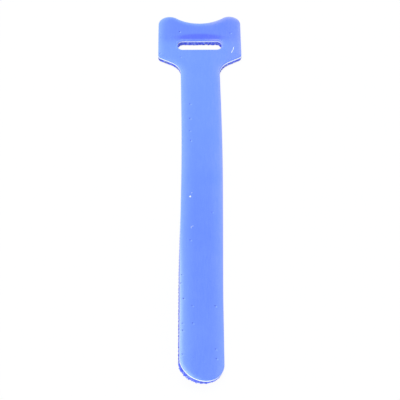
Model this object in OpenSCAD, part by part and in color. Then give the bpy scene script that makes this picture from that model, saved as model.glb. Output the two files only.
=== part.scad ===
// Hook and loop cable tie: a strap with a wide slotted head, lying hooks down.
// X runs across the strap, Y along it towards the head and Z up.
// The origin is below the middle of the tie, on the surface that it lies on.

/* [Strap] */
// Length from the round end to the top corners of the head
length = 150; // [110:1:200]
// Width of the strap
strap_w = 12.7; // [10:0.1:16]

/* [Head] */
// Width of the head
head_w = 27.4; // [24:0.1:34]
// Height of the head, from its lower side corners to its top corners
head_h = 19.4; // [16:0.1:26]
// Radius of the top corners of the head
corner_r = 3.7; // [2:0.1:4.5]
// Depth of the hollow in the top edge of the head
notch_depth = 3.4; // [2:0.1:4]
// Radius of the lower side corners of the head
ear_r = 1.5; // [0.5:0.1:3]
// Slope of the shoulders under the head, in degrees
shoulder_slope = 30; // [20:1:40]
// Radius where the shoulders run into the strap
shoulder_r = 6.1; // [3:0.1:8]

/* [Slot] */
// Room beside the strap in the slot, both sides together
slot_side_play = 1.8; // [1:0.1:3]
// Size of the slot along the strap
slot_h = 4.6; // [4.3:0.1:6]
// Radius of the slot's corners
slot_r = 1.7; // [0.5:0.1:2.1]
// Distance from the lowest point of the head's top edge down to the slot
slot_margin = 8.3; // [5:0.1:9]

/* [Layers] */
// Thickness of the loop fabric
loop_t = 0.6; // [0.4:0.05:1.2]
// Thickness of the film that carries the hooks
film_t = 0.5; // [0.25:0.05:0.8]

/* [Hooks] */
// Height of a hook below the film
hook_h = 1; // [0.7:0.05:1.3]
// Width of a hook, across the strap
hook_w = 0.6; // [0.3:0.05:0.7]
// Length of a hook's root, along the strap
root_l = 0.55; // [0.4:0.05:0.7]
// How far a hook's tip reaches past its throat
reach = 0.4; // [0.25:0.05:0.5]
// Thickness of a hook's tip
tip_t = 0.35; // [0.2:0.05:0.45]
// Distance between rows of hooks, along the strap
row_pitch = 1.8; // [1.5:0.1:3]
// Distance between lanes of hooks, across the strap
lane_pitch = 1.7; // [1.2:0.1:3]
// Bare rim left around the hooks
rim = 0.15; // [0.1:0.05:0.6]

/* [Bow] */
// How far the strap bows out to its right, at the middle of the bow
bow = 0.55; // [0:0.05:1]
// Distance from the round end at which the bow starts
bow_start = 28; // [10:1:40]
// Distance from the top corners of the head down to where the bow ends
bow_end = 5; // [0:1:30]

/* [Twist] */
// Angle that the tail rolls up to on its left side, in degrees
tail_roll = 16; // [0:1:24]
// Distance from the round end at which the roll starts
roll_start = 70; // [50:1:80]
// Distance from the round end at which the roll is complete
roll_end = 24; // [12:1:40]

/* [Hidden] */

half_w = strap_w / 2;
head_half = head_w / 2;
top_y = length / 2;
tail_y = -length / 2;
film_z = hook_h;
loop_z = film_z + film_t;
tie_t = loop_z + loop_t;

// Top edge: a hollow arc that runs smoothly into the round top corners
corner_c = [head_half - corner_r, top_y - corner_r];
notch_y = top_y - notch_depth;
notch_r = (pow(corner_c.x, 2) + pow(corner_r - notch_depth, 2) - pow(corner_r, 2)) / (2 * notch_depth);
notch_c = [0, notch_y + notch_r];
notch_turn = atan2(corner_c.x, notch_c.y - corner_c.y);
notch_half = notch_r * sin(notch_turn);

// Shoulders: a sloping edge from the side corner into a round inner corner
side_y = top_y - head_h;
ear_c = [head_half - ear_r, side_y + ear_r * (1 - sin(shoulder_slope)) / cos(shoulder_slope)];
shoulder_x = half_w + shoulder_r;
shoulder_drop = (shoulder_r + (head_half - shoulder_x) * sin(shoulder_slope)) / cos(shoulder_slope);
shoulder_c = [shoulder_x, side_y - shoulder_drop];
slope_y = shoulder_c.y + shoulder_r * cos(shoulder_slope);

slot_w = strap_w + slot_side_play;
slot_y = notch_y - slot_margin - slot_h / 2;

// Round end and roll of the tail
end_y = tail_y + half_w;
roll_y = tail_y + roll_start;
flat_y = tail_y + roll_end;
bow_low = tail_y + bow_start;
bow_high = top_y - bow_end;

arc_step = 8; // degrees between the points of an arc
side_points = 14; // points along each side of the flat part of the strap
slot_facets = 48; // facets of a full circle of the slot's corners
end_points = 9;
last_angle = 87; // degrees, the round end's last pair of points before its tip
root_sink = 0.1; // how deep a hook's root reaches into the film
throat_in = 0.1; // how far a hook's throat lies back from the front of its root
crown_in = 0.05; // how far a hook's crown lies back from its throat
tip_rise = 0.08; // how much higher the end of a hook's tip starts than its throat

function arc(c, r, from, to) = let (n = ceil(abs(to - from) / arc_step))
    [for (i = [0 : n]) let (a = from + (to - from) * i / n) c + r * [cos(a), sin(a)]];

// Right half of the head and of the flat part of the strap, from the hollow down to where the roll starts
right_side = concat(
    arc(notch_c, notch_r, -90, notch_turn - 90),
    arc(corner_c, corner_r, 90 + notch_turn, 0),
    arc(ear_c, ear_r, 0, shoulder_slope - 90),
    arc(shoulder_c, shoulder_r, 90 + shoulder_slope, 180),
    [for (i = [1 : side_points]) [half_w, shoulder_c.y + (roll_y - shoulder_c.y) * i / side_points]]);
left_side = [for (i = [len(right_side) - 1 : -1 : 1]) [-right_side[i].x, right_side[i].y]];

// Angle of the strap at a place along it: flat, then rising smoothly, then steady to the round end
function roll(y) = let (u = max(0, min(1, (roll_y - y) / (roll_y - flat_y)))) tail_roll * u * u * (3 - 2 * u);

// How far the strap lies to the right of a straight line: it rises smoothly to the middle of the bow and back
function bow_at(y) = let (u = max(0, min(1, (y - bow_low) / (bow_high - bow_low)))) bow * pow(sin(180 * u), 2);

// Where a point of the flat, straight strap lies once the strap has bowed, and has rolled about its middle with
// its right edge still down
function lay(x, y, z) = let (a = roll(y))
    [bow_at(y) + x * cos(a) + (z - tie_t / 2) * sin(a), y, z * cos(a) + (half_w - x) * sin(a)];

// Half the width of the whole outline at a place along it
function half_at(y) =
    y < end_y ? sqrt(max(0, pow(half_w, 2) - pow(end_y - y, 2))) :
    y < shoulder_c.y ? half_w :
    y < slope_y ? shoulder_c.x - sqrt(pow(shoulder_r, 2) - pow(y - shoulder_c.y, 2)) :
    y < side_y ? head_half - (side_y - y) / tan(shoulder_slope) :
    y < corner_c.y ? head_half :
    corner_c.x + sqrt(max(0, pow(corner_r, 2) - pow(y - corner_c.y, 2)));

// How far up the outline reaches at a distance from the middle
function top_at(x) = let (d = abs(x))
    d < notch_half ? notch_c.y - sqrt(pow(notch_r, 2) - d * d) :
    d < corner_c.x ? corner_c.y + sqrt(pow(corner_r, 2) - pow(corner_c.x - d, 2)) :
    corner_c.y + sqrt(max(0, pow(corner_r, 2) - pow(d - corner_c.x, 2)));

// Rows and lanes of hooks, and whether a hook there stands clear of the outer edge and the slot
hook_half = [hook_w / 2 + rim, root_l / 2 + reach + rim];
rows = [for (y = [tail_y + hook_half.y : row_pitch : top_y]) y];
lane_count = floor((head_half - hook_half.x) / lane_pitch);
lanes = [for (i = [-lane_count : lane_count - 1]) (i + 0.5) * lane_pitch];
function in_outline(x, y) =
    abs(x) + hook_half.x < min(half_at(y - hook_half.y), half_at(y), half_at(y + hook_half.y)) &&
    y + hook_half.y < min(top_at(abs(x) - hook_half.x), top_at(x), top_at(abs(x) + hook_half.x));
function in_slot(x, y) =
    abs(x) - hook_half.x < slot_w / 2 && abs(y - slot_y) - hook_half.y < slot_h / 2;

// Places along the rolled part: one between each two rows of hooks, then those of the round end
roll_steps = ceil((roll_y - end_y) / row_pitch);
stations = concat(
    [for (i = [0 : roll_steps]) roll_y + (end_y - roll_y) * i / roll_steps],
    [for (i = [1 : end_points]) end_y - half_w * sin(last_angle * i / end_points)]);

module slot_outline() {
    inner = [slot_w, slot_h] - 2 * [slot_r, slot_r];
    translate([0, slot_y]) {
        square([slot_w, inner.y], center = true);
        square([inner.x, slot_h], center = true);
        for (x = [-1, 1], y = [-1, 1])
            translate([x * inner.x, y * inner.y] / 2) circle(r = slot_r, $fn = slot_facets);
    }
}

module flat_part(z, thickness) {
    translate([0, 0, z]) linear_extrude(height = thickness) difference() {
        polygon([for (p = concat(right_side, left_side)) [p.x + bow_at(p.y), p.y]]);
        slot_outline();
    }
}

// The rolled tail: four corners at each place along it, joined by a skin of triangles.
// The diagonals above and below match, so that one layer seats on the next.
module rolled_part(z, thickness) {
    last = 4 * (len(stations) - 1);
    corners = [for (y = stations) let (h = half_at(y), top = z + thickness)
        each [lay(-h, y, z), lay(-h, y, top), lay(h, y, top), lay(h, y, z)]];
    skin = [for (i = [0 : 4 : last - 4]) each [
        [i, i + 1, i + 5], [i, i + 5, i + 4],
        [i + 1, i + 2, i + 6], [i + 1, i + 6, i + 5],
        [i + 2, i + 3, i + 7], [i + 2, i + 7, i + 6],
        [i + 3, i, i + 7], [i, i + 4, i + 7]]];
    polyhedron(corners, concat([[3, 2, 1, 0]], skin, [[last, last + 1, last + 2, last + 3]]));
}

// One moulded hook in side view: a root, a throat, a tip that points back up and a crown
module hook() {
    front = root_l / 2;
    throat = front - throat_in;
    rotate([90, 0, 90]) linear_extrude(height = hook_w, center = true)
        polygon([[-front, root_sink], [front, root_sink], [throat, tip_t - hook_h],
                 [throat + reach, tip_t - hook_h + tip_rise], [throat - crown_in, -hook_h]]);
}

// Hooks in one lane point towards the head, and in the next towards the tail
module hooks() {
    for (i = [0 : len(lanes) - 1], y = rows)
        if (in_outline(lanes[i], y) && !in_slot(lanes[i], y))
            translate(lay(lanes[i], y, film_z)) rotate([0, roll(y), 0]) mirror([0, i % 2, 0]) hook();
}

module loop_layer() {
    color("cornflowerblue") union() {
        flat_part(loop_z, loop_t);
        rolled_part(loop_z, loop_t);
    }
}

module hook_layer() {
    color("royalblue") union() {
        flat_part(film_z, film_t);
        rolled_part(film_z, film_t);
        hooks();
    }
}

loop_layer();
hook_layer();
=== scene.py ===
import math
import random

import bmesh
import bpy
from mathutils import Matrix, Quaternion, Vector, kdtree


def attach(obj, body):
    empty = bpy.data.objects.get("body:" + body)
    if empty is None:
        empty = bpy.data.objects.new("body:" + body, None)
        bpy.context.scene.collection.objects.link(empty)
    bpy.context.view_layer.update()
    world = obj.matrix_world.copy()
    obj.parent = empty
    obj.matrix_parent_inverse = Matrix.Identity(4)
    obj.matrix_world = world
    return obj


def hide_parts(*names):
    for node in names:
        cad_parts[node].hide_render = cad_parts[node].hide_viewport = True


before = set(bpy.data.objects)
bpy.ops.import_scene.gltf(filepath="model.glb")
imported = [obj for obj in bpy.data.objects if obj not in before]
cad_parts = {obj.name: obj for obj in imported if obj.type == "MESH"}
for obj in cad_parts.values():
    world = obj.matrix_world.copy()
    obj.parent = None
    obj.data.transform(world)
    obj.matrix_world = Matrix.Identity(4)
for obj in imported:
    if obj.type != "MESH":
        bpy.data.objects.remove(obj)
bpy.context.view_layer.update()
print("frame loaded:", ", ".join(sorted(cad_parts)))

# Every piece is modelled in millimetres and brought to metres when it is done
millimetre = 0.001
weld = 0.001  # points nearer to each other than this are one
squarely = 0.9  # a face looks along an axis if its normal has more than this of it

tie = {  # the outline that both layers were cut to, and how the tie lies
    "length": 150.0,
    "strapWidth": 12.7,
    "headWidth": 27.4,
    "headHeight": 19.4,
    "cornerRadius": 3.7,
    "hollowDepth": 3.4,
    "earRadius": 1.5,
    "shoulderSlope": 30.0,
    "shoulderRadius": 6.1,
    "slotWidth": 14.5,
    "slotHeight": 4.6,
    "slotRadius": 1.7,
    "slotMargin": 8.3,
    "slotSegments": 10,  # of each of the slot's corners
    "punchReach": 1.0,  # how far the punch that cuts the slot reaches past the layer, above and below
    "thickness": 2.1,
    "tailRoll": 16.0,
    "rollStart": 70.0,
    "rollEnd": 24.0,
    "bow": 0.55,
    "bowStart": 28.0,
    "bowEnd": 5.0,
    "arcStep": 5.0,  # degrees between the points of an arc
    "roughPitch": 2.0,  # between the points that tell inside from outside
}
halfWidth = tie["strapWidth"] / 2
halfHead = tie["headWidth"] / 2
topY = tie["length"] / 2
tailY = -tie["length"] / 2
slotY = topY - tie["hollowDepth"] - tie["slotMargin"] - tie["slotHeight"] / 2


def deselectAll():
    bpy.ops.object.select_all(action="DESELECT")


def makeActive(piece):
    deselectAll()
    piece.select_set(True)
    bpy.context.view_layer.objects.active = piece


def applyModifier(piece, kind, **settings):
    makeActive(piece)
    made = piece.modifiers.new(kind.lower(), kind)
    for name, value in settings.items():
        setattr(made, name, value)
    bpy.ops.object.modifier_apply(modifier=made.name)


def startEditing():  # with everything selected, by its points
    bpy.ops.object.mode_set(mode="EDIT")
    bpy.ops.mesh.select_mode(type="VERT")
    bpy.ops.mesh.select_all(action="SELECT")


def stopEditing():
    bpy.ops.object.mode_set(mode="OBJECT")


def faceOutwards():  # in edit mode
    bpy.ops.mesh.select_all(action="SELECT")
    bpy.ops.mesh.normals_make_consistent(inside=False)


def selectIn(piece, kind, test):  # in edit mode: only the elements that pass the test
    bpy.ops.mesh.select_all(action="DESELECT")
    bpy.ops.mesh.select_mode(type=kind)
    mesh = bmesh.from_edit_mesh(piece.data)
    found = {"VERT": mesh.verts, "EDGE": mesh.edges, "FACE": mesh.faces}[kind]
    for element in found:
        if test(element):
            element.select_set(True)
    mesh.select_flush_mode()
    bmesh.update_edit_mesh(piece.data)


def liftBy(height):
    bpy.ops.mesh.extrude_region_move(TRANSFORM_OT_translate={"value": (0, 0, height)})


def sweep(steps, turn, centre, axis):  # spin turns clockwise for a positive angle, so its sign is changed here
    bpy.ops.mesh.spin(steps=steps, angle=-turn, center=centre, axis=axis)


def cutAcross(axis, places):  # in edit mode: a cut through the whole mesh at each place
    normal = [float(i == axis) for i in range(3)]
    for place in places:
        bpy.ops.mesh.select_all(action="SELECT")
        bpy.ops.mesh.bisect(plane_co=[place * n for n in normal], plane_no=normal, threshold=1e-4)


def stepsBetween(low, high, pitch):  # places at this pitch, as far from one end as from the other
    count = int((high - low) / pitch)
    start = (low + high - count * pitch) / 2
    return [start + i * pitch for i in range(count + 1)]


def outlineMoves():  # the arcs and straight runs of the right half, from the hollow to the tip of the round end
    r, ear, bend = tie["cornerRadius"], tie["earRadius"], tie["shoulderRadius"]
    depth, slope = tie["hollowDepth"], math.radians(tie["shoulderSlope"])
    corner = Vector((halfHead - r, topY - r))
    hollowRadius = (corner.x ** 2 + (r - depth) ** 2 - r ** 2) / (2 * depth)
    hollow = Vector((0, topY - depth + hollowRadius))
    turn = math.atan2(corner.x, hollow.y - corner.y)
    sideY = topY - tie["headHeight"]
    earCentre = Vector((halfHead - ear, sideY + ear * (1 - math.sin(slope)) / math.cos(slope)))
    shoulderX = halfWidth + bend
    drop = (bend + (halfHead - shoulderX) * math.sin(slope)) / math.cos(slope)
    shoulder = Vector((shoulderX, sideY - drop))
    endCentre = Vector((0, tailY + halfWidth))
    down = math.radians(90)
    return [
        ("arc", hollow, turn), ("arc", corner, -(down + turn)),
        ("to", Vector((halfHead, earCentre.y))), ("arc", earCentre, slope - down),
        ("to", shoulder + bend * Vector((-math.sin(slope), math.cos(slope)))), ("arc", shoulder, down - slope),
        ("to", Vector((halfWidth, endCentre.y))), ("arc", endCentre, -down)]


def turned(arm, angle):  # swung round anticlockwise
    cosine, sine = math.cos(angle), math.sin(angle)
    return Vector((arm.x * cosine - arm.y * sine, arm.x * sine + arm.y * cosine))


def arcPoints(centre, start, turn, pitch):  # points along an arc, without its start
    arm = start - centre
    count = max(1, math.ceil(arm.length * abs(turn) / pitch))
    return [centre + turned(arm, turn * i / count) for i in range(1, count + 1)]


def outlinePath(pitch):  # points along the right half of the outline, from top to tip
    path = [Vector((0, topY - tie["hollowDepth"]))]
    for kind, point, *turn in outlineMoves():
        if kind == "to":
            count = max(1, math.ceil((point - path[-1]).length / pitch))
            path += [path[-1].lerp(point, i / count) for i in range(1, count + 1)]
        else:
            path += arcPoints(point, path[-1], turn[0], pitch)
    return path


def slotPath(pitch):  # points round the slot
    r, path = tie["slotRadius"], []
    x, y = tie["slotWidth"] / 2 - r, tie["slotHeight"] / 2 - r
    for turn, centre in enumerate(((x, y), (-x, y), (-x, -y), (x, -y))):
        angle = math.radians(90 * turn)
        start = Vector(centre) + r * Vector((math.cos(angle), math.sin(angle)))
        path += [start] + arcPoints(Vector(centre), start, math.radians(90), pitch)
    path.append(path[0])
    spaced = []
    for a, b in zip(path, path[1:]):
        count = max(1, math.ceil((b - a).length / pitch))
        spaced += [a.lerp(b, i / count) + Vector((0, slotY)) for i in range(count)]
    return spaced


def treeOf(places):
    tree = kdtree.KDTree(len(places))
    for i, place in enumerate(places):
        tree.insert((place.x, place.y, 0), i)
    tree.balance()
    return tree


def waysOut(path):  # at each point of a path, the way out of the tape
    ways = [(after - before).normalized() for before, after in zip([path[0]] + path, path[1:] + [path[-1]])]
    return [Vector((-way.y, way.x)) for way in ways]


def outlineWithWays(pitch):  # points along the whole outline, each with its way out
    path = outlinePath(pitch)
    half = list(zip(path, waysOut(path)))
    return half + [(Vector((-p.x, p.y)), Vector((-out.x, out.y))) for p, out in half]


def edgePoints(pitch):  # a tree of points along all cut edges
    return treeOf([place for place, out in outlineWithWays(pitch)] + slotPath(pitch))


roughOutline = outlinePath(tie["roughPitch"])


def insideOutline(x, y):
    inSlot = abs(x) < tie["slotWidth"] / 2 and abs(y - slotY) < tie["slotHeight"] / 2
    crossings = 0
    for a, b in zip(roughOutline, roughOutline[1:]):
        if (a.y > y) != (b.y > y) and a.x + (b.x - a.x) * (y - a.y) / (b.y - a.y) > abs(x):
            crossings += 1
    return crossings % 2 == 1 and not inSlot


def traceOutline(name):  # the outline as a ring of edges: its right half is drawn and then mirrored
    deselectAll()
    start = Vector((0, topY - tie["hollowDepth"]))
    bpy.ops.mesh.primitive_plane_add(size=0.1)
    piece = bpy.context.object
    piece.name = piece.data.name = name
    startEditing()
    bpy.ops.mesh.merge(type="CENTER")
    bpy.ops.transform.translate(value=(start.x, start.y, 0))
    place = start.copy()
    for kind, point, *turn in outlineMoves():
        if kind == "to":
            step = point - place
            bpy.ops.mesh.extrude_region_move(TRANSFORM_OT_translate={"value": (step.x, step.y, 0)})
            place = point.copy()
        else:
            steps = max(2, math.ceil(abs(math.degrees(turn[0])) / tie["arcStep"]))
            sweep(steps, turn[0], (point.x, point.y, 0), (0, 0, 1))
            place = point + turned(place - point, turn[0])
    stopEditing()
    applyModifier(piece, "MIRROR", use_axis=(True, False, False), use_clip=True, merge_threshold=weld)
    return piece


def cutTape(name, low, high):  # a layer of the tape, cut to the outline, with its slot
    piece = traceOutline(name)
    startEditing()
    bpy.ops.mesh.remove_doubles(threshold=weld)
    bpy.ops.mesh.edge_face_add()
    bpy.ops.transform.translate(value=(0, 0, low))
    liftBy(high - low)
    faceOutwards()
    stopEditing()

    deselectAll()
    bpy.ops.mesh.primitive_plane_add(size=1, location=(0, slotY, low - tie["punchReach"]))
    punch = bpy.context.object
    punch.scale = (tie["slotWidth"], tie["slotHeight"], 1)
    bpy.ops.object.transform_apply(location=True, rotation=True, scale=True)
    startEditing()
    bpy.ops.mesh.bevel(offset=tie["slotRadius"], segments=tie["slotSegments"], affect="VERTICES")
    bpy.ops.mesh.select_all(action="SELECT")
    liftBy(high - low + 2 * tie["punchReach"])
    faceOutwards()
    stopEditing()
    applyModifier(piece, "BOOLEAN", object=punch, operation="DIFFERENCE", solver="EXACT")
    bpy.data.objects.remove(punch)
    return piece


def roundEdges(piece, height, radius, segments):  # in edit mode: round the sharp edges that lie at a height
    selectIn(piece, "EDGE", lambda e: all(abs(v.co.z - height) < weld for v in e.verts)
             and len(e.link_faces) == 2 and e.calc_face_angle() > 1)
    bpy.ops.mesh.bevel(offset=radius, segments=segments, affect="EDGES")


def rollShare(y):  # how much of its roll the tail has at a place along the tie
    start, end = tailY + tie["rollStart"], tailY + tie["rollEnd"]
    share = min(1, max(0, (start - y) / (start - end)))
    return share * share * (3 - 2 * share)


def rollAt(y):
    return math.radians(tie["tailRoll"]) * rollShare(y)


def bowAt(y):  # how far the tie lies to the right of a straight line
    low, high = tailY + tie["bowStart"], topY - tie["bowEnd"]
    share = min(1, max(0, (y - low) / (high - low)))
    return tie["bow"] * math.sin(math.pi * share) ** 2


def layDown(piece):  # bows a piece of the flat tie and rolls its tail up about its right edge
    middle = tie["thickness"] / 2
    for vertex in piece.data.vertices:
        x, y, z = vertex.co
        turn = rollAt(y)
        vertex.co = (bowAt(y) + x * math.cos(turn) + (z - middle) * math.sin(turn), y,
                     z * math.cos(turn) + (halfWidth - x) * math.sin(turn))


def finishPiece(piece, material, smoothAngle):
    layDown(piece)
    makeActive(piece)
    piece.scale = (millimetre,) * 3
    bpy.ops.object.transform_apply(location=True, rotation=True, scale=True)
    bpy.ops.object.shade_smooth_by_angle(angle=math.radians(smoothAngle))
    piece.data.materials.clear()
    piece.data.materials.append(material)


class Wire:  # a socket that takes part in Python sums, each of which adds its Math node
    def __init__(self, shader, socket):
        self.shader, self.socket = shader, socket

    def sum(self, operation, first, second):
        return self.shader.node("Math", {"operation": operation}, {0: first, 1: second})

    def __add__(self, other):
        return self.sum("ADD", self, other)

    def __radd__(self, other):
        return self.sum("ADD", other, self)

    def __sub__(self, other):
        return self.sum("SUBTRACT", self, other)

    def __rsub__(self, other):
        return self.sum("SUBTRACT", other, self)

    def __mul__(self, other):
        return self.sum("MULTIPLY", self, other)

    def __rmul__(self, other):
        return self.sum("MULTIPLY", other, self)

    def __truediv__(self, other):
        return self.sum("DIVIDE", self, other)

    def __rtruediv__(self, other):
        return self.sum("DIVIDE", other, self)


class Shader:
    def __init__(self, name):
        self.material = bpy.data.materials.new(name)
        self.material.use_nodes = True
        self.tree = self.material.node_tree
        self.tree.nodes.clear()

    def node(self, kind, settings, sockets, output=0):
        made = self.tree.nodes.new("ShaderNode" + kind)
        for name, value in settings.items():
            setattr(made, name, value)
        for name, value in sockets.items():
            if isinstance(value, Wire):
                self.tree.links.new(value.socket, made.inputs[name])
            else:
                made.inputs[name].default_value = value
        return Wire(self, made.outputs[output]) if made.outputs else None

    def place(self, scale=(1, 1, 1)):  # the object's own coordinates, in millimetres
        raw = self.node("TexCoord", {}, {}, "Object")
        return self.node("Mapping", {}, {"Vector": raw, "Scale": [s / millimetre for s in scale]})

    def noise(self, place, size, detail=2.0, roughness=0.5):
        return self.node("TexNoise", {"noise_dimensions": "3D"},
                         {"Vector": place, "Scale": 1 / size, "Detail": detail, "Roughness": roughness}, "Fac")

    def part(self, vector, axis):
        return self.node("SeparateXYZ", {}, {"Vector": vector}, axis)

    def blend(self, mask, first, second):  # each a socket or a plain colour
        first, second = (color if isinstance(color, Wire) else (*color, 1) for color in (first, second))
        return self.node("Mix", {"data_type": "RGBA"}, {"Factor": mask, 6: first, 7: second}, 2)

    def range(self, value, low, high, newLow=0.0, newHigh=1.0):
        return self.node("MapRange", {"interpolation_type": "SMOOTHSTEP"}, {
            "Value": value, "From Min": low, "From Max": high, "To Min": newLow, "To Max": newHigh})

    def finish(self, sockets, bump=None, bumpHeight=0.0):
        if bump is not None:
            sockets["Normal"] = self.node("Bump", {}, {"Height": bump, "Distance": bumpHeight * millimetre})
        return self.output(self.node("BsdfPrincipled", {}, sockets))

    def output(self, surface):
        self.node("OutputMaterial", {}, {"Surface": surface})
        return self.material


fabric = {
    "bottom": 1.5,
    "top": 2.1,
    "edgeRound": 0.32,
    "edgeSegments": 5,
    "cell": 0.7,
    "pileSize": 0.28,
    "ribSize": 0.45,
    "ribStretch": 0.12,  # the ribs run along the strap, longer by one over this
    "patchSize": 9.0,
    "bumpRibs": 0.6,  # height of the ribs beside that of the pile
    "bumpHeight": 0.06,
    "rimReach": (2.3, 0.5),  # of the painted highlight along the edge: plain, and how much wider on the left, where the light falls
    "rimWeight": (0.6, 0.15, 0.55),  # plain, and how much more on the left and at the top, where the painted highlight is brighter
    "tailRim": (0.7, 0.8),  # reach and strength of the painted highlight along the raised edge of the tail
    "strapShadeSpan": (40.0, -20.0),  # from here to here along the strap its middle gets deeper: painted shade
    "middleShift": 0.6,  # how far the deeper middle lies to the right
    "middleEnds": (3.0, 20.0),  # squares of the distances from it at which the sides start and are reached
    "sidePaler": 0.6,  # how much less painted shade the sides get
    "paleTail": (-15.0, -62.0),  # from here to here along the strap it gets paler: painted light on the flattening tail
    "deepHead": (60.3, 64.8),  # from here to here along the tie the head's painted shade sets in
    "violetHead": (170.0, 60.0, 0.17, 0.4),  # squares of two distances from the middle, and the shares of painted shade there
    "headRight": (7.0, 13.0),  # from here to here across the head its right side sets in
    "violetRight": 0.2,  # how much more violet the right side is
    "rightEdge": (1.0, 5.0),  # from here to here across the tie its pale tone turns to the right edge's
    "rightFades": (0.5, 0.6),  # how much less the tail has of the right edge's tone, and of its painted rim highlight
    "rimPile": (0.9, 0.3),  # how strong the painted rim highlight is: on the pile's raised tufts, and everywhere
    "patchShare": (0.35, 0.75),
    # shares of the pale tone: on the tail and the sides it is painted light, on the patches, pile and ribs tone
    # that differs at random, and more on the head's right side
    "paleShares": {"tail": 0.1, "side": 0.04, "patches": 0.05, "pile": 0.25, "ribs": 0.15, "headRight": 0.09},
    "shadeAboveSlot": (0.0, 64.4, 9.8, 2.5),  # centre and half sizes of a darker patch
    "shadeEdge": (1.0, -0.2),  # it sets in from its edge, which is at 1, towards its middle, which is at 0
    "slotRim": (0.5, 0.6),  # reach and strength of the painted highlight round the slot
    "rimPitch": 0.1,  # between the points of the edge from which the rim is measured
    "speckSpacing": 3.4,
    "speckRadius": 0.24,
    "speckEdge": (1.3, 0.6),  # a speck fades between these shares of its radius
    "speckNoise": (0.2, 0.5),  # size and strength of what makes it ragged
    "speckStrength": (0.4, 0.5),  # the least, and how much more it may be
    "speckBeside": (4.0, 9.0),  # squares of the distances from the middle between which specks begin
    "speckLeft": (0.0, -2.0, 0.4, 1.0),  # two places across the strap, and the shares of the chance there
    "speckHead": 0.7,  # how much rarer they are in the head
    "speckChance": (0.14, 0.5),  # plain, and how much more on the tail
    "speckHighlightShift": (-0.35, 0.3, 0.0),  # from a dark speck to the painted highlight beside it
    "color": (0.137, 0.268, 0.95),
    # the colour of the painted shade on the middle of the strap
    "strapShadeColor": (0.114, 0.224, 0.93),
    # the colour of the painted shade on the head and above the slot, and of the head's more violet right side
    "violetColor": (0.083, 0.140, 0.87),
    # the pale tone: of the painted highlights and painted light, and of the random paler tone
    "paleColor": (0.30, 0.48, 0.98),
    "paleRight": (0.44, 0.50, 0.98),  # the same towards the right edge
    "speckColor": (0.04, 0.07, 0.45),
    "glintColor": (0.88, 0.96, 1.0),
}


def speckMask(shader, place, shift, chance):  # ragged spots, one in each cell that the draw picks
    shifted = shader.node("VectorMath", {"operation": "ADD"}, {0: place, 1: shift})
    cells = {"voronoi_dimensions": "2D"}, {"Vector": shifted, "Scale": 1 / fabric["speckSpacing"]}
    away = shader.node("TexVoronoi", *cells, "Distance") * fabric["speckSpacing"]
    draw = shader.node("TexVoronoi", *cells, "Color")
    chosen = shader.node("Math", {"operation": "LESS_THAN"}, {0: shader.part(draw, "X"), 1: chance})
    noiseSize, noiseStrength = fabric["speckNoise"]
    ragged = away + (shader.noise(place, noiseSize, 1, 0.5) - 0.5) * noiseStrength
    spot = shader.range(ragged, *[fabric["speckRadius"] * share for share in fabric["speckEdge"]])
    least, more = fabric["speckStrength"]
    return spot * chosen * (shader.part(draw, "Y") * more + least)


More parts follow.
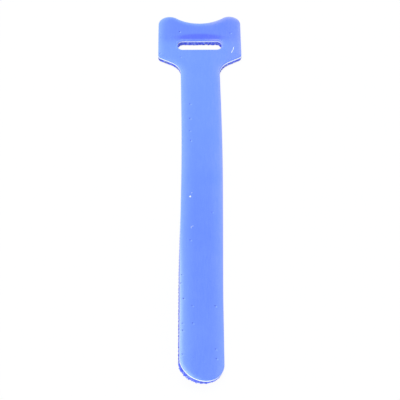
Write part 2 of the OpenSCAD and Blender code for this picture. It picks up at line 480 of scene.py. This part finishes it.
def fabricMaterial():
    shader = Shader("loop_fabric")
    place = shader.place()
    x, y = shader.part(place, "X"), shader.part(place, "Y")
    pile = shader.noise(place, fabric["pileSize"], 3, 0.6)
    ribs = shader.noise(shader.place((1, fabric["ribStretch"], 1)), fabric["ribSize"])
    patches = shader.noise(place, fabric["patchSize"])
    # painted highlight along the edges, round the slot and along the tail's raised edge
    rim = shader.node("Attribute", {"attribute_name": "rim"}, {}, "Fac")
    glint = shader.node("Attribute", {"attribute_name": "glint"}, {}, "Fac")

    inHead = shader.range(y, *fabric["deepHead"])
    offMiddle = x - fabric["middleShift"]
    # the strap's sides, away from its slightly right-shifted middle: they get less painted shade and some
    # painted light
    side = shader.range(offMiddle * offMiddle, *fabric["middleEnds"]) * (1 - inHead)
    # painted shade on the middle of the strap, less towards its sides
    strapShade = shader.range(y, *fabric["strapShadeSpan"]) * (1 - side * fabric["sidePaler"])
    # painted light on the tail, which also makes specks more common there
    tail = shader.range(y, *fabric["paleTail"])
    patchX, patchY, patchWidth, patchHeight = fabric["shadeAboveSlot"]
    offX, offY = (x - patchX) / patchWidth, (y - patchY) / patchHeight
    shade = shader.range(offX * offX + offY * offY, *fabric["shadeEdge"])
    headRight = shader.range(x, *fabric["headRight"])
    # painted shade on the head and above the slot, with a more violet right side of the head
    head = inHead * shader.range(x * x, *fabric["violetHead"]) + shade + headRight * fabric["violetRight"]
    tone = shader.blend(strapShade, fabric["color"], fabric["strapShadeColor"])
    tone = shader.blend(head, tone, fabric["violetColor"])
    rightTail, rimTail = fabric["rightFades"]
    rightward = shader.range(x, *fabric["rightEdge"]) * (1 - tail * rightTail)
    tuftHighlight, even = fabric["rimPile"]
    shares = fabric["paleShares"]
    # painted highlight on the edges, painted light on the tail and sides, and random pale tone from the
    # patches, pile and ribs
    pale = (rim * (pile * tuftHighlight + even) * (1 - rightward * tail * rimTail)
            + tail * shares["tail"] + side * shares["side"] + headRight * shares["headRight"]
            + shader.range(patches, *fabric["patchShare"]) * shares["patches"]
            + (pile - 0.5) * shares["pile"] + (ribs - 0.5) * shares["ribs"])
    paleTone = shader.blend(rightward, fabric["paleColor"], fabric["paleRight"])
    tone = shader.blend(pale, tone, paleTone)

    plainChance, tailChance = fabric["speckChance"]
    beside = shader.range(offMiddle * offMiddle, *fabric["speckBeside"]) * shader.range(x, *fabric["speckLeft"])
    chance = (tail * tailChance + plainChance) * beside * (1 - inHead * fabric["speckHead"])
    # each dark speck gets a painted highlight beside it, in the pale colour
    for shift, color in ((fabric["speckHighlightShift"], fabric["paleColor"]), ((0, 0, 0), fabric["speckColor"])):
        tone = shader.blend(speckMask(shader, place, shift, chance), tone, color)
    tone = shader.blend(glint, tone, fabric["glintColor"])
    return shader.finish({
        "Base Color": tone,
        "Roughness": 0.75,
        "Sheen Weight": 0.25,
        "Sheen Roughness": 0.4,
        "Sheen Tint": (0.75, 0.85, 1, 1),
        "Specular IOR Level": 0.25,
    }, pile + ribs * fabric["bumpRibs"], fabric["bumpHeight"])


def markRimHighlight(piece):  # painted highlight near the face's edge: more on the left and at the top than elsewhere, where the light falls, and also round the slot and along the tail's raised edge
    outline = outlineWithWays(fabric["rimPitch"])
    edge, slotEdge = treeOf([place for place, out in outline]), treeOf(slotPath(fabric["rimPitch"]))
    slotReach, slotWeight = fabric["slotRim"]
    tailReach, tailWeight = fabric["tailRim"]
    mark = piece.data.attributes.new("rim", "FLOAT", "POINT")
    plainReach, leftReach = fabric["rimReach"]
    plain, left, top = fabric["rimWeight"]
    for vertex, value in zip(piece.data.vertices, mark.data):
        place = Vector((vertex.co.x, vertex.co.y, 0))
        _, index, away = edge.find(place)
        outward = outline[index][1]
        near = max(0, 1 - away / (plainReach - leftReach * outward.x)) ** 2
        bySlot = max(0, 1 - slotEdge.find(place)[2] / slotReach)
        byTail = max(0, 1 - away / tailReach) * max(0, -outward.x) * rollShare(place.y)
        value.value = max(near * min(1, max(0, plain - left * outward.x + top * outward.y)),
                          bySlot * slotWeight) + byTail * tailWeight


thread = {
    "sides": 8,
    "slice": 0.04,  # length of the piece that is swept round
    "step": 15.0,  # degrees
    "fewestSteps": 4,
}

pulledLoops = [  # loops that stand out of the face: middle, radius, start and turn in degrees, thickness, glint
    ((4.7, 60.3), 6.6, -30.0, 25.0, 0.2, 1.0),
    ((-2.45, -19.6), 0.7, 95.0, 110.0, 0.2, 0.45),
    ((-3.5, -6.7), 0.14, 20.0, 300.0, 0.34, 1.0),
    ((-2.9, -5.3), 0.25, 100.0, 90.0, 0.16, 0.6),
]


def makePulledLoop(centre, radius, start, turn, thickness, glint):  # a thread lying in a curve on the face
    deselectAll()
    bpy.ops.mesh.primitive_cylinder_add(vertices=thread["sides"], radius=thickness / 2, depth=thread["slice"],
                                        location=(radius, 0, 0), rotation=(math.radians(90), 0, 0))
    piece = bpy.context.object
    bpy.ops.object.transform_apply(location=True, rotation=True, scale=True)
    startEditing()
    selectIn(piece, "FACE", lambda f: f.normal.y > squarely)
    steps = max(thread["fewestSteps"], int(turn / thread["step"]))
    sweep(steps, math.radians(turn), (0, 0, 0), (0, 0, 1))
    faceOutwards()
    stopEditing()
    for value in piece.data.attributes.new("glint", "FLOAT", "POINT").data:
        value.value = glint
    piece.rotation_euler.z = math.radians(start)
    piece.location = (*centre, fabric["top"])
    bpy.ops.object.transform_apply(location=True, rotation=True, scale=True)
    return piece


def makeFabric():
    piece = cutTape("loop_face", fabric["bottom"], fabric["top"])
    startEditing()
    roundEdges(piece, fabric["top"], fabric["edgeRound"], fabric["edgeSegments"])
    cutAcross(0, stepsBetween(-halfHead, halfHead, fabric["cell"]))
    cutAcross(1, stepsBetween(tailY, topY, fabric["cell"]))
    stopEditing()
    markRimHighlight(piece)
    loops = [makePulledLoop(*shape) for shape in pulledLoops]
    makeActive(piece)
    for loop in loops:
        loop.select_set(True)
    bpy.ops.object.join()
    return piece


film = {
    "bottom": 1.0,
    "top": 1.5,
    "edgeRound": 0.06,
    "edgeSegments": 2,
    "cell": 1.25,
    "streakSize": 0.5,
    "cutStreaks": (0.75, 0.4),  # how pale the cut edge is: everywhere, and more in the streaks
    "bumpHeight": 0.03,
    "color": (0.13, 0.22, 0.85),
    "cutColor": (0.82, 0.90, 1.0),
    "cutFacing": (0.75, 0.35),  # squares of how far up a face looks: plain at the first, cut at the second
    "cutShare": (0.05, 0.4),  # the cut edge turns from plain to pale between these shares of its height
}


def filmMaterial():
    shader = Shader("hook_film")
    place = shader.place()
    upward = shader.part(shader.node("NewGeometry", {}, {}, "Normal"), "Z")
    height = shader.node("Attribute", {"attribute_name": "height"}, {}, "Fac")
    side = shader.range(upward * upward, *film["cutFacing"]) * shader.range(height, *film["cutShare"])
    streaks = shader.noise(place, film["streakSize"])
    plain, streaked = film["cutStreaks"]
    color = shader.blend(side * (plain + streaks * streaked), film["color"], film["cutColor"])
    return shader.finish({"Base Color": color, "Roughness": 0.5 + streaks * 0.2, "Specular IOR Level": 0.4},
                         streaks, film["bumpHeight"])


def makeFilm():
    piece = cutTape("hook_film", film["bottom"], film["top"])
    startEditing()
    roundEdges(piece, film["bottom"], film["edgeRound"], film["edgeSegments"])
    cutAcross(1, stepsBetween(tailY, topY, film["cell"]))
    stopEditing()
    mark = piece.data.attributes.new("height", "FLOAT", "POINT")
    for vertex, value in zip(piece.data.vertices, mark.data):
        value.value = (vertex.co.z - film["bottom"]) / (film["top"] - film["bottom"])
    return piece


hook = {
    "rootSize": (0.46, 0.62, 0.12),
    "rootSink": 0.05,
    "stemDrop": 0.5,
    "stemTaper": (0.9, 0.66),
    "curlRadius": 0.23,
    "curlSteps": 3,
    "curlTurn": 165.0,
    "tipTaper": (0.8, 0.5, 0.7),
    "pitch": 1.3,
    "lanePitch": 0.5,
    "stubSpacing": 0.45,
    "stubSize": (0.5, 0.3, 0.97),
    "stubTaper": (0.8, 0.7),
    "stubUneven": 0.3,
    "slotSplay": 0.45,  # how far the ends of stubs are pushed out in the slot
    "endSplay": 0.55,  # the same at the round end, most of all towards its raised corner
    "endTowards": (-0.9, -0.4),
    "endRamp": 2.5,  # how fast it grows from the straight side
    "sideSplay": 0.14,  # the same along the raised side
    "cutSlant": 0.25,  # how far off the strap's length an edge runs before it cuts through hooks
    "sideRoll": 5.0,  # where the left side is raised by more, what it cut shows there too
    "overhang": 0.15,  # a hook whose middle is no further out than this is kept and cut flush
    "lean": 0.12,
    "uneven": 0.12,
    "seed": 11,
    "edgePitch": 0.05,  # between the points of the edge against which a hook is cut
    "flushReach": 1.0,  # a hook whose middle is nearer to an edge than this may be cut by it
    "cloudSize": 0.7,
    "cloudShare": (0.42, 0.72),
    "color": (0.07, 0.11, 0.92),
    # the palest spots of the mottling: partly the plastic's own tone, partly painted glints
    "paleColor": (0.27, 0.35, 1.0),
}


def hookMaterial():
    shader = Shader("hook_plastic")
    place = shader.place()
    # mottled tone whose palest spots also stand in for painted glints on the plastic
    cloudy = shader.range(shader.noise(place, hook["cloudSize"]), *hook["cloudShare"])
    color = shader.blend(cloudy, hook["color"], hook["paleColor"])
    return shader.finish({
        "Base Color": color,
        "Roughness": 0.45 + cloudy * 0.2,
        "Specular IOR Level": 0.4,
        "Subsurface Weight": 0.5,
        "Subsurface Radius": (0.3, 0.4, 1.0),
        "Subsurface Scale": 0.6 * millimetre,
    })


def makeHook():  # root, tapered stem and a tip that curls back up; the film's underside is at height 0
    deselectAll()
    sink = hook["rootSink"]
    rootEnd = sink - hook["rootSize"][2]
    stemEnd = rootEnd - hook["stemDrop"]
    bpy.ops.mesh.primitive_cube_add(size=1, location=(0, 0, (sink + rootEnd) / 2))
    piece = bpy.context.object
    piece.name = piece.data.name = "hooks"
    piece.scale = hook["rootSize"]
    bpy.ops.object.transform_apply(location=True, rotation=True, scale=True)
    startEditing()
    selectIn(piece, "FACE", lambda f: f.normal.z < -squarely)
    bpy.ops.mesh.extrude_region_move(TRANSFORM_OT_translate={"value": (0, 0, -hook["stemDrop"])})
    bpy.ops.transform.resize(value=(*hook["stemTaper"], 1), center_override=(0, 0, stemEnd))
    sweep(hook["curlSteps"], math.radians(hook["curlTurn"]), (0, hook["curlRadius"], stemEnd), (1, 0, 0))
    mesh = bmesh.from_edit_mesh(piece.data)
    tip = [v.co for v in mesh.verts if v.select]
    bpy.ops.transform.resize(value=hook["tipTaper"], center_override=sum(tip, Vector()) / len(tip))
    faceOutwards()
    stopEditing()
    return piece


def keepHooks(piece, count, pointsEach):  # drops the hooks outside the edges, and cuts and unevens the rest
    draw = random.Random(hook["seed"])
    edge = edgePoints(hook["edgePitch"])
    gone = set()
    for i in range(count):
        points = piece.data.vertices[i * pointsEach:(i + 1) * pointsEach]
        centre = sum((v.co for v in points), Vector()) / pointsEach
        away = edge.find((centre.x, centre.y, 0))[2]
        lean, height = draw.uniform(-1, 1) * hook["lean"], 1 - draw.random() * hook["uneven"]
        if away > hook["overhang"] and not insideOutline(centre.x, centre.y):
            gone.update(v.index for v in points)
            continue
        for v in points:
            v.co = (v.co.x + lean * v.co.z, v.co.y, v.co.z * height)
            if away < hook["flushReach"] and not insideOutline(v.co.x, v.co.y):  # cut off flush with the edge
                flush = edge.find((v.co.x, v.co.y, 0))[0]
                v.co.x, v.co.y = flush.x, flush.y
            if away < hook["lanePitch"] and centre.x < 0:  # along the raised edge the outermost hooks stand out
                v.co.x += hook["sideSplay"] * v.co.z * rollShare(centre.y)
    makeActive(piece)
    startEditing()
    selectIn(piece, "VERT", lambda v: v.index in gone)
    bpy.ops.mesh.delete(type="VERT")
    stopEditing()


def splayAt(place, out):  # how far the cut has pushed the end of a stub out
    if abs(place.x) <= tie["slotWidth"] / 2 and abs(place.y - slotY) <= tie["slotHeight"] / 2:
        return hook["slotSplay"]
    side = hook["sideSplay"] * max(0, -out.x) * rollShare(place.y)
    if place.y >= tailY + halfWidth:
        return side
    towards = max(0, out.dot(Vector(hook["endTowards"]))) * min(1, max(0, -hook["endRamp"] * out.y))
    return max(side, hook["endSplay"] * towards)


def makeCutRow():  # what the cut leaves of the hooks that it went through: stubs side by side along the edge
    slot = slotPath(hook["stubSpacing"])
    places = outlineWithWays(hook["stubSpacing"]) + list(zip(slot, waysOut(slot)))
    places = [(place, out) for place, out in places
              if abs(out.y) > hook["cutSlant"] or -out.x * rollAt(place.y) > math.radians(hook["sideRoll"])]
    width, depth, height = hook["stubSize"]
    deselectAll()
    bpy.ops.mesh.primitive_cube_add(size=1, location=(0, 0, -height / 2))
    piece = bpy.context.object
    piece.scale = (width, depth, height)
    bpy.ops.object.transform_apply(location=True, rotation=True, scale=True)
    startEditing()
    selectIn(piece, "FACE", lambda f: f.normal.z < -squarely)
    bpy.ops.transform.resize(value=(*hook["stubTaper"], 1))
    stopEditing()
    pointsEach = len(piece.data.vertices)
    applyModifier(piece, "ARRAY", count=len(places), use_relative_offset=False)
    draw = random.Random(hook["seed"])
    for i, (place, out) in enumerate(places):
        lean, share = draw.uniform(-1, 1) * hook["lean"], 1 - draw.random() * hook["stubUneven"]
        splay = -splayAt(place, out)
        for v in piece.data.vertices[i * pointsEach:(i + 1) * pointsEach]:
            along, z = v.co.x + lean * v.co.z, v.co.z * share
            inward = v.co.y - depth / 2 + splay * z / height
            v.co = (place.x + along * out.y + inward * out.x, place.y - along * out.x + inward * out.y, z)
    return piece


def makeHooks():
    piece = makeHook()
    pointsEach = len(piece.data.vertices)
    startEditing()  # a second hook beside it, turned the other way round
    bpy.ops.mesh.duplicate_move(TRANSFORM_OT_translate={"value": (hook["lanePitch"], hook["pitch"] / 2, 0)})
    bpy.ops.transform.rotate(value=math.pi, orient_axis="Z",
                             center_override=(hook["lanePitch"], hook["pitch"] / 2, 0))
    stopEditing()
    lanes = int(tie["headWidth"] / (2 * hook["lanePitch"])) + 1
    rows = int(tie["length"] / hook["pitch"]) + 1
    for count, step in ((lanes, (2 * hook["lanePitch"], 0, 0)), (rows, (0, hook["pitch"], 0))):
        applyModifier(piece, "ARRAY", count=count, use_relative_offset=False, use_constant_offset=True,
                      constant_offset_displace=step)
    shift = Vector(((0.5 - lanes) * hook["lanePitch"], -(rows - 0.5) * hook["pitch"] / 2, 0))
    for vertex in piece.data.vertices:
        vertex.co += shift
    keepHooks(piece, 2 * lanes * rows, pointsEach)
    cutRow = makeCutRow()
    makeActive(piece)
    cutRow.select_set(True)
    bpy.ops.object.join()
    for vertex in piece.data.vertices:
        vertex.co.z += film["bottom"]
    return piece


print("helpers ready")

loopFace = makeFabric()
hookFilm = makeFilm()
finishPiece(loopFace, fabricMaterial(), 50)
finishPiece(hookFilm, filmMaterial(), 40)
hooks = makeHooks()
finishPiece(hooks, hookMaterial(), 40)
print("hooks:", len(hooks.data.polygons), "faces")
print("layers:", len(loopFace.data.polygons), "and", len(hookFilm.data.polygons), "faces")

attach(loopFace, "root")
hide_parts("loop_layer")
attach(hookFilm, "root")
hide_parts("hook_layer")
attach(hooks, "root")


stage = {
    "floorSize": 3.0,
    "floorColor": (0.84, 0.87, 1.0, 1),
    "floorWhite": 0.96,
    "darkReach": 0.0013,
    "darkUnder": (0.25, 0.55),
    "worldStrength": 0.7,
    "keyPower": 4.4,
    "keySize": 0.6,
    "keyPlace": (-0.2, 0.3, 0.8),
    "fillPower": 2.5,
    "fillSize": 0.4,
    "fillPlace": (-0.1, -0.7, 0.16),
}


def makeFloor():
    deselectAll()
    bpy.ops.mesh.primitive_plane_add(size=stage["floorSize"])
    floor = bpy.context.object
    floor.name = "floor"
    shader = Shader("floor")
    lit = shader.node("BsdfDiffuse", {}, {"Color": stage["floorColor"]})
    seen = shader.node("Emission", {}, {"Color": (1, 1, 1, 1), "Strength": 1.0})
    rays = [shader.node("LightPath", {}, {}, f"Is {kind} Ray") for kind in ("Camera", "Glossy", "Transmission")]
    shown = rays[0] + rays[1] + rays[2]
    openness = shader.node("AmbientOcclusion", {"samples": 8}, {"Distance": stage["darkReach"]}, "AO")
    white = shown * shader.range(openness, *stage["darkUnder"], 0, stage["floorWhite"])
    floor.data.materials.append(shader.output(shader.node("MixShader", {}, {0: white, 1: lit, 2: seen})))


def makeLight():
    world = bpy.data.worlds.new("studio")
    bpy.context.scene.world = world
    world.use_nodes = True
    light = world.node_tree.nodes["Background"].inputs
    light["Color"].default_value = (1, 1, 1, 1)
    light["Strength"].default_value = stage["worldStrength"]
    for name in ("key", "fill"):
        deselectAll()
        bpy.ops.object.light_add(type="AREA", location=stage[name + "Place"])
        lamp = bpy.context.object
        lamp.data.energy = stage[name + "Power"]
        lamp.data.size = stage[name + "Size"]
        lamp.rotation_euler = (-Vector(stage[name + "Place"])).to_track_quat("-Z", "Y").to_euler()


photoView = {
    "place": (-0.00069, -0.31710, 0.34735),
    "aim": (-0.00015, -0.00624, 0.0),
    "roll": -0.213,
    "lens": 138.33,
    "sensor": 36.0,
}


def makeCamera():
    deselectAll()
    bpy.ops.object.camera_add(location=photoView["place"])
    camera = bpy.context.object
    camera.data.lens = photoView["lens"]
    camera.data.sensor_width = photoView["sensor"]
    camera.data.clip_start, camera.data.clip_end = 0.01, 20
    sight = Vector(photoView["aim"]) - Vector(photoView["place"])
    roll = Quaternion((0, 0, 1), math.radians(photoView["roll"]))
    camera.rotation_euler = (sight.to_track_quat("-Z", "Y") @ roll).to_euler()
    bpy.context.scene.camera = camera


makeFloor()
makeLight()
makeCamera()
bpy.context.scene.view_settings.view_transform = "Standard"
